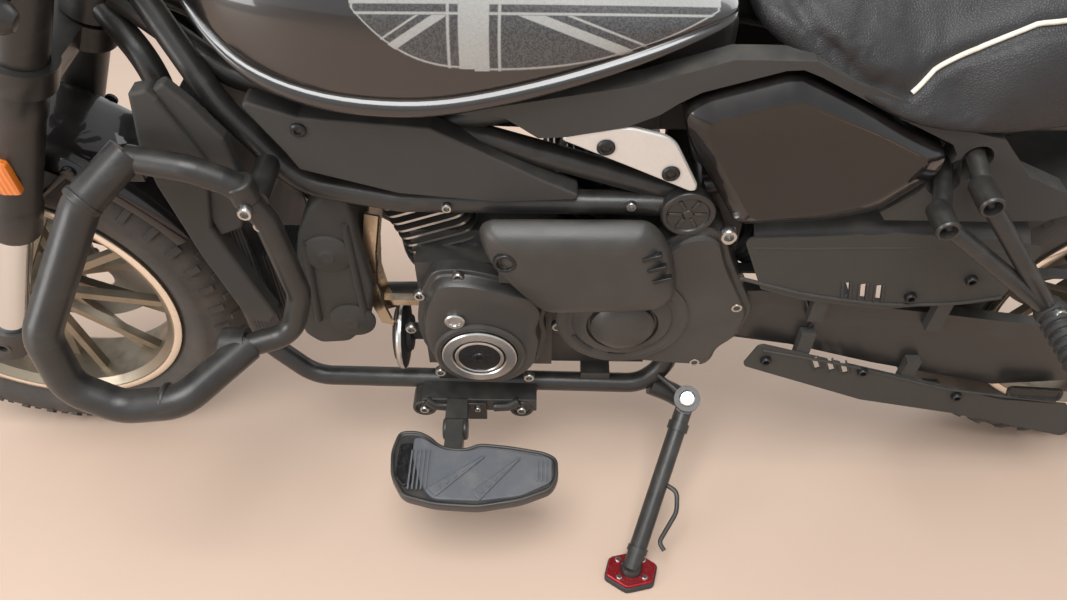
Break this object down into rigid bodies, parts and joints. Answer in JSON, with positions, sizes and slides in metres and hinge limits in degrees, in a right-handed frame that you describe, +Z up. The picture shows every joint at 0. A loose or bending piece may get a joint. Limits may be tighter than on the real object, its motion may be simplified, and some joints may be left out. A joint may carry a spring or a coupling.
{
  "type": "cruiser motorcycle",
  "caption": "Low belt-driven cruiser motorcycle leaning on its side stand, with footboards, crash bars and a long black tank.",
  "frame": {"origin": "on the floor below the middle of the whole parked motorcycle", "axes": "+X forward along the wheels, +Y to the rider's left, +Z up; the motorcycle leans 10.5 degrees to its left on its side stand"},
  "size_m": [2.159, 0.864, 1.2289],
  "materials": {
    "tyre": "matte",
    "wheel_cast": "satin",
    "disc_steel": "brushed",
    "frame_black": "satin",
    "engine_black": "satin",
    "gloss_paint": "gloss",
    "matte_moulding": "matte",
    "radiator_core": "satin",
    "silver_plate": "satin",
    "seat_leather": "grained",
    "belt_rubber": "matte",
    "grip_rubber": "matte",
    "footboard": "matte",
    "shock_steel": "satin",
    "pipe_steel": "satin",
    "muffler_black": "satin",
    "stanchion_chrome": "polished",
    "headlight_black": "gloss",
    "lens_red": "gloss",
    "lens_amber": "gloss",
    "mirror_black": "gloss",
    "stand_shoe": "anodised"
  },
  "bodies": {
    "root": {"frame": "frame_black", "crankcase": "engine_black", "cylinders": "engine_black", "primary_cover": "engine_black", "top_cover": "engine_black", "pulley_cover": "engine_black", "radiator": "radiator_core", "radiator_shrouds": "matte_moulding", "horn": "matte_moulding", "tank": "gloss_paint", "frame_covers": "matte_moulding", "side_covers": "gloss_paint", "side_plates": "silver_plate", "seat": "seat_leather", "rear_fender": "gloss_paint", "tail_lamp": "lens_red", "rear_indicators": "lens_amber", "swingarm": "frame_black", "belt": "belt_rubber", "belt_guards": "matte_moulding", "shock": "shock_steel", "exhaust_pipes": "pipe_steel", "mufflers": "muffler_black", "footboards": "footboard", "peg_stays": "frame_black", "crash_bars": "frame_black"},
    "side_stand": {"stand_leg": "frame_black", "stand_foot": "stand_shoe"},
    "steering": {"fork_clamps": "frame_black", "fork_tubes": "gloss_paint", "stanchions": "stanchion_chrome", "fork_feet": "frame_black", "front_fender": "gloss_paint", "headlight": "headlight_black", "front_indicators": "lens_amber", "handlebar": "frame_black", "grips": "grip_rubber", "mirrors": "mirror_black", "instrument": "matte_moulding"},
    "front_wheel": {"front_rim": "wheel_cast", "front_tyre": "tyre", "front_disc": "disc_steel"},
    "rear_wheel": {"rear_rim": "wheel_cast", "rear_tyre": "tyre", "rear_disc": "disc_steel"}
  },
  "joints": [
    {"name": "steering", "type": "hinge", "parent": "root", "child": "steering", "pos_m": [0.51353, -0.02956, 0.76712], "axis": [-0.4383, 0.1643, 0.8837], "range_deg": [-36, 36]},
    {"name": "front_wheel", "type": "hinge", "parent": "steering", "child": "front_wheel", "pos_m": [0.78154, -0.11753, 0.29401], "axis": [0, 0.9831, -0.1828], "continuous": true},
    {"name": "rear_wheel", "type": "hinge", "parent": "root", "child": "rear_wheel", "pos_m": [-0.72346, -0.11533, 0.30601], "axis": [0, 0.9831, -0.1828], "continuous": true},
    {"name": "side_stand", "type": "hinge", "parent": "root", "child": "side_stand", "pos_m": [-0.13148, -0.01623, 0.17155], "axis": [0.1302, 0.6485, 0.75], "range_deg": [0, 98]}
  ]
}
